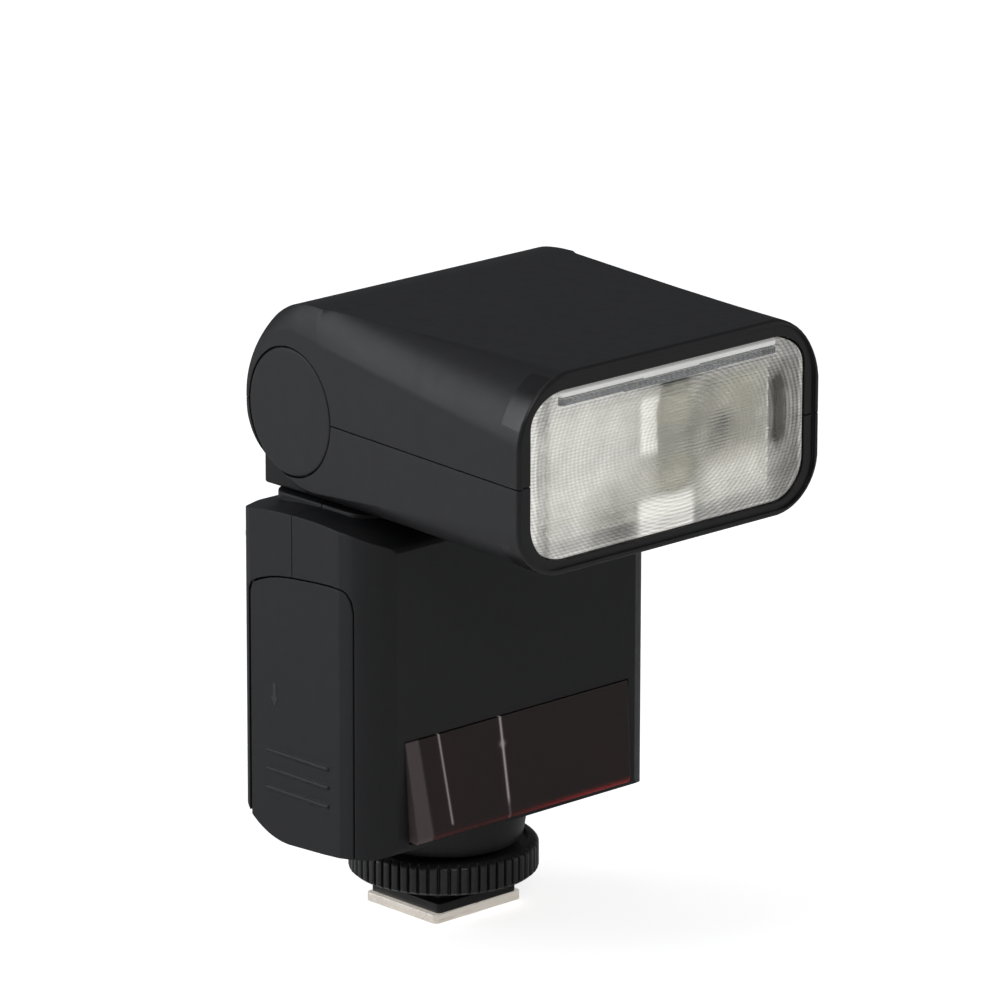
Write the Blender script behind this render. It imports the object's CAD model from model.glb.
# A clip-on camera flash: ribbed clamp foot, body with controls, neck and tilting head.
# It stands on the centre of its foot at the origin, +Z up. The lens and the red window
# face the front (-Y), the controls face the back (+Y), the battery door is on the -X side.
# Shape sizes are in millimetres; MM turns them into Blender's metres.
import bpy
import bmesh
import math
import numpy as np
from mathutils import Matrix, Vector


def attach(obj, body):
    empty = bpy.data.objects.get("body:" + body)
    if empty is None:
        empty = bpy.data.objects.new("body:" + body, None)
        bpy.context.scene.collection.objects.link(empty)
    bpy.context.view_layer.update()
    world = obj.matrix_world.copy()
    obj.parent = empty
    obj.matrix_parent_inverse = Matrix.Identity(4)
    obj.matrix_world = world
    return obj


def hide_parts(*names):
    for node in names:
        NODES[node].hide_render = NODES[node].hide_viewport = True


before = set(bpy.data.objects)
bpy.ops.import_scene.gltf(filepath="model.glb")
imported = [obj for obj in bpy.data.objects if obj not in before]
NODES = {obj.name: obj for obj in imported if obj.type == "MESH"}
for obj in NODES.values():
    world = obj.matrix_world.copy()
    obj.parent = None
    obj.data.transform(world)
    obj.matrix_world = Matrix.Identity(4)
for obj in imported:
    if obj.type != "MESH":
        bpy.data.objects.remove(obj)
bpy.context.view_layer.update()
MM = 0.001

AXIS = 1e-5                              # radius of lathe points that close on the axis
QUARTER = np.linspace(0, math.pi / 2, 5)  # angles of a small rounded edge

# Head: tilt pivot, front face and half widths of the tapering sides
PIVOT_Y, PIVOT_Z = 5.3, 84.2
PIVOT = (PIVOT_Y, PIVOT_Z)
HEAD_FRONT = -50.4
FRONT_HALF_WIDTH, EAR_HALF_WIDTH = 31.9, 27.4
FLARE = math.atan((FRONT_HALF_WIDTH - EAR_HALF_WIDTH) / (PIVOT_Y - HEAD_FRONT))
CAP_RADIUS = 10.10

# Reflector bowl: deepest line, half height and depth; the tube lies inside it
BOWL_Y, BOWL_Z = -34.5, 85.6
BOWL_HALF_HEIGHT, BOWL_DEPTH = 8.4, 11
TUBE_AT = (BOWL_Y - 3.4, BOWL_Z)

# Neck and body
NECK_RADIUS, NECK_REAR, NECK_BOTTOM = 11, 10, 70.2   # rear face is cut flat short of the round
WALL = 1.8
SWIVEL_AT = (0, 4.3)
SEAM_Y = 0.9
SEAM_LIP = 0.31                          # depth of the lip behind a seam

# Controls on the back, as (x, z)
KEYS_X = [-15.3 + i * 10.2 for i in range(4)]
KEYS_Z = 43.4
DIAL_AT = (0, 31.2)
TEST_AT = (-18, 27.7)
SWITCH_Z = 28.7
DISPLAY_AT = (0, 55.4)
SCREWS_AT = ((27.0, 63.6), (-27.0, 63.6), (26.6, 21))

# Foot, as (x, y)
SMALL_PINS_AT = ((-3.2, 3.2), (3.2, 3.2), (-3.4, -2.6), (3.4, -2.6))
LOCK_PIN_AT = (0, -6.7)


# ------------------------------------------------------------------ mesh tools
def link(piece):
    bpy.context.scene.collection.objects.link(piece)
    return piece


def mesh(vertices, faces, name="part"):
    data = bpy.data.meshes.new(name)
    data.from_pydata([(v[0] * MM, v[1] * MM, v[2] * MM) for v in vertices], [], faces)
    bm = bmesh.new()
    bm.from_mesh(data)
    bmesh.ops.remove_doubles(bm, verts=bm.verts, dist=1e-7)
    bmesh.ops.recalc_face_normals(bm, faces=bm.faces)
    bm.to_mesh(data)
    bm.free()
    return link(bpy.data.objects.new(name, data))


def place(axis, u, v, along):
    """Point (u, v) of a plane across the axis, at a distance along it."""
    return {"x": (along, u, v), "y": (u, along, v), "z": (u, v, along)}[axis]


def prism(outline, axis, start, end, name="part"):
    n = len(outline)
    vertices = [place(axis, *p, start) for p in outline] + [place(axis, *p, end) for p in outline]
    faces = [list(range(n)), list(range(2 * n - 1, n - 1, -1))]
    faces += [[i, (i + 1) % n, n + (i + 1) % n, n + i] for i in range(n)]
    return mesh(vertices, faces, name)


def box(low, high):
    outline = [(low[0], low[1]), (high[0], low[1]), (high[0], high[1]), (low[0], high[1])]
    return prism(outline, "z", low[2], high[2])


def lathe(profile, axis, centre, steps=128, closed=True, name="part"):
    """Turn (radius, distance along the axis) points about an axis through centre."""
    vertices, faces = [], []
    m = len(profile)
    for i in range(steps):
        angle = 2 * math.pi * i / steps
        for radius, along in profile:
            u = centre[0] + radius * math.cos(angle)
            v = centre[1] + radius * math.sin(angle)
            vertices.append(place(axis, u, v, along))
    for i in range(steps):
        j = (i + 1) % steps
        for k in range(m if closed else m - 1):
            l = (k + 1) % m
            faces.append([i * m + k, j * m + k, j * m + l, i * m + l])
    return mesh(vertices, faces, name)


def cylinder(radius, axis, centre, start, end, steps=128, rounding=0.0, name="part"):
    if rounding:
        core = radius - rounding
        rim = [(core + rounding * math.sin(t), start + rounding - rounding * math.cos(t))
               for t in QUARTER]
        rim += [(core + rounding * math.cos(t), end - rounding + rounding * math.sin(t))
                for t in QUARTER]
    else:
        rim = [(radius, start), (radius, end)]
    profile = [(AXIS, start)] + rim + [(AXIS, end)]
    return lathe(profile, axis, centre, steps, closed=False, name=name)


def loft(*ends):
    """Solid through (outline in x and z, y) sections."""
    n = len(ends[0][0])
    vertices = [(x, y, z) for outline, y in ends for x, z in outline]
    faces = []
    for k in range(len(ends) - 1):
        for i in range(n):
            j = (i + 1) % n
            faces.append([k * n + i, k * n + j, (k + 1) * n + j, (k + 1) * n + i])
    last = (len(ends) - 1) * n
    faces.append(list(range(n)))
    faces.append(list(range(last + n - 1, last - 1, -1)))
    return mesh(vertices, faces)


def apply_modifiers(piece):
    graph = bpy.context.evaluated_depsgraph_get()
    data = bpy.data.meshes.new_from_object(piece.evaluated_get(graph))
    piece.modifiers.clear()
    old = piece.data
    piece.data = data
    bpy.data.meshes.remove(old)


def drop(piece):
    data = piece.data
    bpy.data.objects.remove(piece)
    bpy.data.meshes.remove(data)


def combine(piece, tools, operation):
    """Boolean each tool into the piece and remove the tool."""
    for tool in tools:
        modifier = piece.modifiers.new("b", "BOOLEAN")
        modifier.operation = operation
        modifier.object = tool
        modifier.solver = "EXACT"
        apply_modifiers(piece)
        drop(tool)
    return piece


def cut(piece, *tools):
    return combine(piece, tools, "DIFFERENCE")


def add(piece, *tools):
    return combine(piece, tools, "UNION")


def keep_within(piece, tool):
    return combine(piece, [tool], "INTERSECT")


def join(name, pieces):
    """Gather the meshes in one object without merging them."""
    bm = bmesh.new()
    for piece in pieces:
        bm.from_mesh(piece.data)
        drop(piece)
    data = bpy.data.meshes.new(name)
    bm.to_mesh(data)
    bm.free()
    return link(bpy.data.objects.new(name, data))


def copy(piece, name="part"):
    return link(bpy.data.objects.new(name, piece.data.copy()))


def bevel(piece, width, segments, angle):
    modifier = piece.modifiers.new("bev", "BEVEL")
    modifier.width = width * MM
    modifier.segments = segments
    modifier.limit_method = "ANGLE"
    modifier.angle_limit = math.radians(angle)
    modifier.use_clamp_overlap = True
    modifier.miter_outer = "MITER_SHARP"
    apply_modifiers(piece)
    return piece


def seam_lip(source, centre, scale, low, high):
    """Lip behind a seam: the shell itself, a little smaller, kept to a thin slab."""
    lip = copy(source)
    for v in lip.data.vertices:
        v.co = Vector([c * MM + (q - c * MM) * k for q, c, k in zip(v.co, centre, scale)])
    return keep_within(lip, box(low, high))


def finish(piece, body, materials, replaces=None, sharp=32):
    """Give materials, shading and the moving body the piece rides on."""
    piece.data.materials.clear()
    for key in materials:
        piece.data.materials.append(MATERIAL[key])
    for face in piece.data.polygons:
        face.use_smooth = True
    piece.data.set_sharp_from_angle(angle=math.radians(sharp))
    modifier = piece.modifiers.new("wn", "WEIGHTED_NORMAL")
    modifier.keep_sharp = True
    modifier.weight = 80
    modifier.mode = "FACE_AREA"
    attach(piece, body)
    if replaces:
        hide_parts(replaces)


# ------------------------------------------------------------------ outlines
def mix(a, b, t):
    return a + (b - a) * t


def smoothstep(t):
    return t * t * (3 - 2 * t)


def catmull(points, steps):
    """Open Catmull-Rom curve through the points."""
    P = [np.array(p, float) for p in points]
    curve = []
    for i in range(len(P) - 1):
        p1, p2 = P[i], P[i + 1]
        p0 = P[i - 1] if i > 0 else 2 * p1 - p2
        p3 = P[i + 2] if i + 2 < len(P) else 2 * p2 - p1
        for k in range(steps):
            t = k / steps
            curve.append(tuple(0.5 * (2 * p1 + (p2 - p0) * t
                                      + (2 * p0 - 5 * p1 + 4 * p2 - p3) * t * t
                                      + (3 * p1 - p0 - 3 * p2 + p3) * t ** 3)))
    curve.append(tuple(P[-1]))
    return curve


def rounded_rect(centre, half_u, half_v, radius, steps):
    outline = []
    for quarter in range(4):
        side_u = 1 if quarter in (0, 3) else -1
        side_v = 1 if quarter < 2 else -1
        for i in range(steps + 1):
            a = math.radians(quarter * 90 + i * 90 / steps)
            outline.append((centre[0] + side_u * (half_u - radius) + radius * math.cos(a),
                            centre[1] + side_v * (half_v - radius) + radius * math.sin(a)))
    return outline


def mirrored(half):
    return list(half) + [(-x, y) for x, y in reversed(half)]


def section(half_width, bottom, top, top_corner, bottom_corner, steps=12):
    """Upright outline in x and z; each corner is an ellipse of (x, z) radii."""
    tx, tz = top_corner
    bx, bz = bottom_corner
    angles = np.linspace(0, math.pi / 2, steps + 1)
    half = [(half_width - bx + bx * math.sin(a), bottom + bz - bz * math.cos(a)) for a in angles]
    half += [(half_width - tx + tx * math.cos(a), top - tz + tz * math.sin(a)) for a in angles]
    return mirrored(half)


def inset_points(stations, inset):
    """Move (u, v, outward u, outward v) stations inwards."""
    return [(u - inset * out_u, v - inset * out_v) for u, v, out_u, out_v in stations]


# ------------------------------------------------------------------ shader tools
class Graph:
    """Node tree of a material or world, emptied but for its output node."""

    def __init__(self, owner, output="OutputMaterial"):
        owner.use_nodes = True
        self.owner = owner
        self.tree = owner.node_tree
        self.tree.nodes.clear()
        self.output = self.node(output)

    def put(self, socket, value):
        """Link a socket, or set a number, vector or three-part colour."""
        if isinstance(value, bpy.types.NodeSocket):
            self.tree.links.new(value, socket)
        elif socket.type == "RGBA":
            socket.default_value = (*value, 1)
        else:
            socket.default_value = value

    def node(self, kind, *inputs, **settings):
        """Settings name inputs (underscore for space) or properties; inputs go by position."""
        node = self.tree.nodes.new("ShaderNode" + kind)
        for key, value in settings.items():
            name = key.replace("_", " ")
            if name in node.inputs:
                self.put(node.inputs[name], value)
            else:
                setattr(node, key, value)
        for socket, value in zip(node.inputs, inputs):
            self.put(socket, value)
        return node

    def out(self, kind, *inputs, output=0, **settings):
        return self.node(kind, *inputs, **settings).outputs[output]

    def surface(self, shader):
        self.put(self.output.inputs[0], shader)
        return self.owner

    def math(self, operation, *inputs):
        return self.out("Math", *inputs, operation=operation)

    def mul(self, a, b):
        return self.math("MULTIPLY", a, b)

    def add(self, a, b):
        return self.math("ADD", a, b)

    def sub(self, a, b):
        return self.math("SUBTRACT", a, b)

    def coords(self, scale=(1, 1, 1)):
        return self.out("Mapping", Vector=self.out("TexCoord", output="Object"), Scale=scale)

    def xz_mm(self):
        parts = self.node("SeparateXYZ", self.out("TexCoord", output="Object")).outputs
        return [self.mul(parts[k], 1 / MM) for k in (0, 2)]

    def noise(self, vector, scale, detail=3, rough=0.55):
        return self.out("TexNoise", Vector=vector, Scale=scale, Detail=detail, Roughness=rough)

    def ramp(self, value, start, end, low, high, curve="LINEAR"):
        """Map start..end to low..high, clamped."""
        return self.out("MapRange", interpolation_type=curve, Value=value, From_Min=start,
                        From_Max=end, To_Min=low, To_Max=high)

    def smooth(self, value, start, end, low=0.0, high=1.0):
        return self.ramp(value, start, end, low, high, "SMOOTHSTEP")

    def band(self, value, start, end, soft):
        """One between start and end, zero outside, with soft borders."""
        return self.mul(self.smooth(value, start - soft, start + soft),
                        self.smooth(value, end - soft, end + soft, 1.0, 0.0))

    def hump(self, value, centre, width):
        """Bell-shaped rise."""
        u = self.mul(self.sub(value, centre), 1 / width)
        return self.math("POWER", 2.718, self.mul(self.mul(u, u), -1.0))

    def mix_colour(self, factor, a, b):
        node = self.node("Mix", factor, data_type="RGBA")
        self.put(node.inputs[6], a)
        self.put(node.inputs[7], b)
        return node.outputs[2]

    def vary(self, factor, colour, amount):
        """Colour that drifts darker and lighter by a share of itself."""
        return self.mix_colour(factor, tuple(c * (1 - amount) for c in colour),
                               tuple(min(1, c * (1 + amount)) for c in colour))

    def round_edges(self, radius):
        return self.out("Bevel", samples=4, Radius=radius * MM)

    def let_light_through(self, shader, amount, tint=(1, 1, 1)):
        """Clear parts pass lamp light, so what lies behind them is lit."""
        shadow_ray = self.out("LightPath", output="Is Shadow Ray")
        clear = self.out("BsdfTransparent", Color=tint)
        return self.surface(self.out("MixShader", self.mul(shadow_ray, amount), shader, clear))


def material_graph(name):
    return Graph(bpy.data.materials.new(name))


# ------------------------------------------------------------------ materials
def plastic(name, colour, rough, grain, bump, edge, spec, edge_colour=None, variation=0.07,
            glow=0.0):
    """Moulded plastic: fine grain, slow tone and gloss changes, paler edges."""
    g = material_graph(name)
    vector = g.coords()
    broad = g.noise(vector, 55)
    middle = g.noise(vector, 420, detail=4)
    fine = g.noise(vector, grain, detail=2, rough=0.6)
    lighter = tuple(c * (1 + variation) for c in colour)
    base = g.mix_colour(broad, tuple(c * (1 - variation) for c in colour), lighter)
    rounded = g.round_edges(edge)
    # the rounded normal leans away from the true one only near an edge
    facing = g.out("VectorMath", rounded, g.out("NewGeometry", output="Normal"),
                   operation="DOT_PRODUCT", output="Value")
    edge_colour = edge_colour or tuple(min(1, c * 1.5 + 0.002) for c in colour)
    tone = g.mix_colour(g.ramp(facing, 1.0, 0.9, low=0.0, high=0.5), base, edge_colour)
    emission = {}
    if glow:
        strength = g.ramp(broad, 0.3, 0.7, low=glow * 0.9, high=glow * 1.1)
        emission = dict(Emission_Color=tone, Emission_Strength=strength)
    gloss = g.ramp(middle, 0.3, 0.7, low=rough - 0.02, high=rough + 0.03)
    normal = g.out("Bump", Strength=bump, Distance=0.03 * MM, Height=fine, Normal=rounded)
    return g.surface(g.out("BsdfPrincipled", Base_Color=tone, Roughness=gloss,
                           Specular_IOR_Level=spec, Normal=normal, **emission))


def metal(name, colour, rough, bump, stretch=(300, 300, 300), edge=0.12, variation=0.12,
          glow=0.0):
    """Machined metal with directional marks and slight tarnish."""
    g = material_graph(name)
    stretched = g.coords(stretch)
    plain = g.coords()
    lines = g.noise(stretched, 3.0, detail=4, rough=0.7)
    tone = g.vary(g.noise(plain, 260, detail=4), colour, variation)
    gloss = g.ramp(lines, 0.3, 0.7, low=rough - 0.07, high=rough + 0.1)
    emission = {}
    if glow:
        strength = g.ramp(lines, 0.3, 0.7, low=glow * 0.75, high=glow * 1.2)
        emission = dict(Emission_Color=tone, Emission_Strength=strength)
    normal = g.out("Bump", Strength=bump, Distance=0.03 * MM, Height=lines,
                   Normal=g.round_edges(edge))
    return g.surface(g.out("BsdfPrincipled", Metallic=1.0, Base_Color=tone, Roughness=gloss,
                           Normal=normal, **emission))


# Soft patches on the lens: x from, to, softness; z from, to, softness; brightness
LENS_PATCHES = [
    (-5.8, -2.4, 0.5, 84.6, 93.4, 1.0, 0.46),
    (-6.0, 4.8, 0.8, 71.0, 77.4, 1.0, 0.52),
    (6.0, 19.0, 3.0, 82.0, 93.0, 3.0, -0.20),
    (6.0, 22.0, 3.0, 72.0, 81.0, 2.5, 0.24),
]
# Upright dark streaks: x centre, width; z from, to, softness; brightness
LENS_STREAKS = [
    (23.4, 1.3, 81.0, 91.5, 2.0, -0.40),
    (-12.0, 5.0, 72.0, 80.5, 3.0, -0.30),
]
RING_PITCH, RIB_PITCH = 0.66, 0.52       # of the fine lens pattern


def lens_light(g, vector, x, z, rings, ribs):
    """Bright and dark zones the lens gathers from the bowl behind it."""
    swing = g.mul(g.sub(g.noise(vector, 95), 0.5), 3.0)
    wavy_x = g.add(x, swing)
    light = g.smooth(wavy_x, 2.0, -16.0, low=0.50, high=0.80)

    def brighten(mask, gain):
        return g.add(light, g.mul(mask, gain))

    light = brighten(g.mul(g.hump(wavy_x, 1.0, 3.2), g.smooth(z, 76.0, 80.0)), -0.66)
    for x0, x1, x_soft, z0, z1, z_soft, gain in LENS_PATCHES:
        mask = g.mul(g.band(wavy_x, x0, x1, x_soft), g.band(z, z0, z1, z_soft))
        light = brighten(mask, gain)
    for centre, width, z0, z1, z_soft, gain in LENS_STREAKS:
        light = brighten(g.mul(g.hump(wavy_x, centre, width), g.band(z, z0, z1, z_soft)), gain)
    # both side borders and the top border
    light = brighten(g.smooth(x, -27.3, -28.0), 0.28)
    light = brighten(g.hump(x, -25.6, 0.7), -0.22)
    light = brighten(g.smooth(x, 27.4, 28.0), 0.22)
    light = brighten(g.smooth(z, 94.0, 94.6), 0.10)
    light = brighten(g.sub(g.noise(vector, 240, detail=4), 0.5), 0.45)
    ring_share = g.smooth(x, -6.0, 4.0, low=0.5, high=1.0)
    fine = g.add(g.mul(ribs, 0.12), g.mul(g.mul(rings, ring_share), 0.17))
    return g.math("MAXIMUM", g.mul(light, g.add(fine, 1.0)), 0.05)


def lens_material():
    """Clear acrylic with fine level prisms, faint rings and zones of gathered light."""
    g = material_graph("lens_acrylic")
    x, z = g.xz_mm()
    up = g.sub(z, BOWL_Z)
    across = g.sub(x, 2.5)
    flat_square = g.mul(g.mul(across, across), 0.62)
    distance = g.math("SQRT", g.add(flat_square, g.mul(up, up)))
    rings = g.math("SINE", g.mul(distance, 2 * math.pi / RING_PITCH))
    ribs = g.math("SINE", g.mul(up, 2 * math.pi / RIB_PITCH))
    height = g.add(g.mul(rings, 0.5), g.mul(ribs, 0.9))
    bump = g.out("Bump", Strength=0.22, Distance=0.06 * MM, Height=height)
    vector = g.coords()
    tint = g.mix_colour(g.noise(vector, 180), (0.95, 0.96, 0.93), (0.99, 0.99, 0.97))
    acrylic = g.out("BsdfPrincipled", Roughness=0.04, IOR=1.49, Transmission_Weight=1.0,
                    Base_Color=tint, Normal=bump)
    light = lens_light(g, vector, x, z, rings, ribs)
    warm = g.out("CombineXYZ", *[g.mul(light, share) for share in (1.0, 0.985, 0.93)])
    diffuse = g.out("BsdfDiffuse", Color=warm)
    translucent = g.out("BsdfTranslucent", Color=warm)
    milk = g.out("MixShader", 0.4, diffuse, translucent)
    milkiness = g.ramp(light, 0.2, 1.2, low=0.10, high=0.42)
    body = g.out("MixShader", milkiness, acrylic, milk)
    # glow seen only by the camera, on the outward faces
    camera_ray = g.out("LightPath", output="Is Camera Ray")
    outward = g.sub(1.0, g.out("NewGeometry", output="Backfacing"))
    glow = g.mul(g.math("MAXIMUM", g.sub(light, 0.28), 0.0), 0.56)
    emission = g.out("Emission", Color=(1.0, 0.985, 0.945),
                     Strength=g.mul(g.mul(glow, outward), camera_ray))
    return g.let_light_through(g.out("AddShader", body, emission), amount=0.9)


def clear_material(name, colour, rough, milk, rib_pitch=None, tint=(0.9, 0.9, 0.9)):
    """Clear plastic or glass with a share of milky white and optional upright ribs."""
    g = material_graph(name)
    tone = g.mix_colour(g.noise(g.coords(), 140), tuple(c * 0.96 for c in colour), colour)
    relief = {}
    if rib_pitch:
        parts = g.node("SeparateXYZ", g.out("TexCoord", output="Object")).outputs
        wave = g.math("SINE", g.mul(parts[0], 2 * math.pi / (rib_pitch * MM)))
        relief["Normal"] = g.out("Bump", Strength=0.5, Distance=0.1 * MM, Height=wave)
    clear = g.out("BsdfPrincipled", Roughness=rough, IOR=1.49, Transmission_Weight=1.0,
                  Base_Color=tone, **relief)
    diffuse = g.out("BsdfDiffuse", Color=colour)
    return g.let_light_through(g.out("MixShader", milk, clear, diffuse), 0.9, tint)


def red_material():
    """Dark red window: paler strip at one end, two fine pale lines, red low edge."""
    g = material_graph("window_red")
    vector = g.coords()
    x, z = g.xz_mm()
    broad = g.noise(vector, 90, detail=4)
    lean = g.mul(g.sub(z, 27.0), -0.10)
    leaning_x = g.add(x, g.mul(lean, -1.0))
    strip = g.smooth(leaning_x, -19.9, -20.7)
    side_line = g.mul(g.hump(leaning_x, -16.1, 0.22), g.smooth(z, 20.3, 21.0))
    mid_line = g.mul(g.hump(g.add(x, g.mul(lean, -0.35)), -3.6, 0.26),
                     g.smooth(z, 20.6, 22.6, low=0.25))
    knot = g.mul(g.hump(x, -3.8, 0.55), g.hump(z, 30.9, 0.5))
    low_edge = g.mul(g.smooth(z, 20.2, 19.0), g.smooth(x, -10.0, 16.0, low=0.25))
    base = g.mix_colour(broad, (0.012, 0.0050, 0.0045), (0.026, 0.0075, 0.0065))
    base = g.mix_colour(g.mul(low_edge, 0.8), base, (0.30, 0.012, 0.012))
    base = g.mix_colour(g.mul(strip, 0.75), base, (0.15, 0.125, 0.12))
    base = g.mix_colour(g.mul(side_line, 0.8), base, (0.42, 0.38, 0.37))
    line_and_knot = g.math("MINIMUM", g.add(mid_line, knot), 1.0)
    base = g.mix_colour(g.mul(line_and_knot, 0.8), base, (0.50, 0.45, 0.44))
    lines_glow = g.add(g.mul(side_line, 0.22), g.mul(mid_line, 0.30))
    window = g.node("BsdfPrincipled", Roughness=0.09, IOR=1.48, Transmission_Weight=0.10,
                    Specular_IOR_Level=0.36, Base_Color=base, Emission_Color=base,
                    Emission_Strength=g.add(lines_glow, g.mul(low_edge, 0.25)))
    gloss = g.ramp(g.noise(vector, 500), 0.3, 0.7, low=0.06, high=0.13)
    g.put(window.inputs["Roughness"], gloss)
    g.put(window.inputs["Normal"], g.round_edges(0.25))
    return g.let_light_through(window.outputs[0], 0.85, tint=(0.75, 0.16, 0.12))


def reflector_material():
    """Bright aluminium with fine rolling lines along the tube."""
    g = material_graph("reflector_bright")
    lines = g.noise(g.coords((30, 1500, 1500)), 2.0)
    tone = g.mix_colour(g.noise(g.coords(), 120), (0.86, 0.84, 0.78), (0.95, 0.94, 0.90))
    bright = g.node("BsdfPrincipled", Metallic=1.0, Roughness=0.24, Base_Color=tone,
                    Emission_Color=(0.95, 0.93, 0.86))
    g.put(bright.inputs["Roughness"], g.ramp(lines, 0.3, 0.7, low=0.18, high=0.32))
    g.put(bright.inputs["Normal"],
          g.out("Bump", Strength=0.25, Distance=0.06 * MM, Height=lines))
    g.put(bright.inputs["Emission Strength"], g.ramp(lines, 0.3, 0.7, low=0.06, high=0.14))
    return g.surface(bright.outputs[0])


def floor_material(name, colour, rough):
    """White sweep that glows towards the camera, so only the soft contact shadow shows."""
    g = material_graph(name)
    tone = g.mix_colour(g.noise(g.coords(), 6, detail=2), tuple(c * 0.99 for c in colour), colour)
    base = g.out("BsdfPrincipled", Roughness=rough, Base_Color=tone)
    distance = g.out("VectorMath", g.out("TexCoord", output="Object"), operation="LENGTH",
                     output="Value")
    camera_ray = g.out("LightPath", output="Is Camera Ray")
    strength = g.mul(camera_ray, g.smooth(distance, 0.2, 1.4, low=0.76, high=0.93))
    emission = g.out("Emission", Color=(1, 1, 1), Strength=strength)
    return g.surface(g.out("AddShader", base, emission))


# name, colour, roughness, grain scale, bump strength, edge rounding (mm), specular level
PLASTICS = {
    "housing": ("housing_black", (0.0120, 0.0122, 0.0135), 0.46, 2400, 0.22, 0.28, 0.36),
    "top": ("housing_black_head", (0.0135, 0.0135, 0.0152), 0.44, 2400, 0.22, 0.25, 0.38),
    "neck": ("neck_black", (0.0085, 0.0085, 0.0090), 0.48, 2600, 0.2, 0.3, 0.32),
    "rim": ("rim_black", (0.007, 0.007, 0.008), 0.32, 3000, 0.12, 0.25, 0.45),
    "cap": ("cap_black", (0.0125, 0.0125, 0.0140), 0.42, 3000, 0.16, 0.3, 0.38),
    "inner": ("inner_dark", (0.030, 0.030, 0.033), 0.5, 1800, 0.24, 0.2, 0.5),
    "chamber": ("chamber_pale", (0.62, 0.61, 0.57), 0.5, 900, 0.16, 0.2, 0.5),
    "ring": ("ring_black", (0.021, 0.021, 0.0215), 0.34, 2200, 0.2, 0.16, 0.5),
    "foot": ("foot_black", (0.010, 0.010, 0.0105), 0.40, 2200, 0.2, 0.2, 0.5),
    "key": ("key_dark", (0.030, 0.030, 0.033), 0.45, 3200, 0.2, 0.25, 0.5),
    "dial": ("dial_dark", (0.020, 0.020, 0.022), 0.40, 3000, 0.2, 0.2, 0.5),
    "mark": ("mark_grey", (0.33, 0.33, 0.34), 0.55, 3000, 0.12, 0.1, 0.5),
    "arrow": ("arrow_dark", (0.030, 0.030, 0.032), 0.55, 3000, 0.12, 0.1, 0.5),
    "board": ("board_green", (0.020, 0.105, 0.055), 0.38, 700, 0.2, 0.15, 0.5),
    "display": ("display_grey", (0.20, 0.23, 0.20), 0.30, 900, 0.08, 0.1, 0.5),
    "sleeve": ("sleeve_dark", (0.020, 0.026, 0.040), 0.28, 1200, 0.12, 0.3, 0.5),
    "ferrite": ("ferrite_dark", (0.035, 0.034, 0.034), 0.6, 900, 0.4, 0.3, 0.5),
    "battery": ("battery_grey", (0.040, 0.043, 0.050), 0.42, 2000, 0.2, 0.4, 0.5),
    "coil": ("coil_brown", (0.22, 0.10, 0.04), 0.35, 1500, 0.8, 0.1, 0.5),
    "card": ("card_white", (0.86, 0.86, 0.84), 0.5, 1500, 0.12, 0.1, 0.5),
    "lamp": ("test_red", (0.22, 0.015, 0.015), 0.22, 1500, 0.08, 0.3, 0.5),
}
PLASTIC_EXTRAS = {
    "chamber": dict(edge_colour=(0.7, 0.7, 0.66), variation=0.06),
    "ring": dict(edge_colour=(0.06, 0.06, 0.06)),
    "card": dict(edge_colour=(0.9, 0.9, 0.88), variation=0.04, glow=0.3),
}
MATERIAL = {key: plastic(*row, **PLASTIC_EXTRAS.get(key, {})) for key, row in PLASTICS.items()}
MATERIAL.update({
    "gold": metal("gold_plate", (0.83, 0.62, 0.28), rough=0.26, bump=0.05,
                  stretch=(200, 200, 200)),
    "nickel": metal("nickel_brushed", (0.66, 0.615, 0.555), rough=0.30, bump=0.22,
                    stretch=(60, 900, 900), edge=0.16, variation=0.10, glow=0.56),
    "steel": metal("steel_turned", (0.55, 0.55, 0.56), rough=0.28, bump=0.1),
    "pin": metal("pin_blackened", (0.05, 0.05, 0.055), rough=0.38, bump=0.1),
    "screw": metal("screw_zinc", (0.62, 0.60, 0.56), rough=0.30, bump=0.1),
    "socket": metal("socket_plate", (0.62, 0.62, 0.63), rough=0.25, bump=0.08),
    "lens": lens_material(),
    "diffuser": clear_material("diffuser_clear", (0.93, 0.95, 0.96), rough=0.10, milk=0.16,
                               rib_pitch=1.1),
    "glass": clear_material("tube_glass", (0.97, 0.98, 1.0), rough=0.02, milk=0.04),
    "display_cover": clear_material("display_window", (0.50, 0.53, 0.54), rough=0.03,
                                    milk=0.02, tint=(0.55, 0.57, 0.58)),
    "red": red_material(),
    "reflector": reflector_material(),
})

# CAD nodes keep their shape and take one of the materials
CAD_NODES = {
    "board": "sensor_board main_board",
    "display": "lcd_module",
    "sleeve": "main_capacitor",
    "ferrite": "charge_transformer",
    "battery": "battery_pack",
    "gold": "battery_contacts contact_pins",
    "inner": "battery_tray dial_encoder zoom_carriage panel_guide",
    "screw": "housing_screws axle_screws foot_screws",
    "socket": "usb_socket",
    "pin": "door_hinge_pin",
    "steel": "swivel_hub swivel_retainer tilt_axles guide_rods stepper_motor lead_screw lock_pin",
    "coil": "trigger_coil",
    "foot": "foot_block pressure_plate",
    "nickel": "foot_plate",
}
for key, names in CAD_NODES.items():
    for name in names.split():
        slots = NODES[name].data.materials
        slots.clear()
        slots.append(MATERIAL[key])

# ------------------------------------------------------------------ head
# Long edges of the head: rear end's distance before the pivot, then at the front and at
# the rear end: height, depth and width of the chamfer band, roundness of the band (0 to 1)
TOP_EDGE = (3.3, (100.7, 10.5, 10, 0.86), (101.65, 5.2, 1.5, 0.40))
BOTTOM_EDGE = (6.0, (69.4, 8, 8.5, 0.9), (70.5, 2.1, 5.0, 0.5))
EAR_BAND = (0.66, 1.3, 0.75)             # depth, width and roundness round the ears
BAND_STEPS = 11

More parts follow.
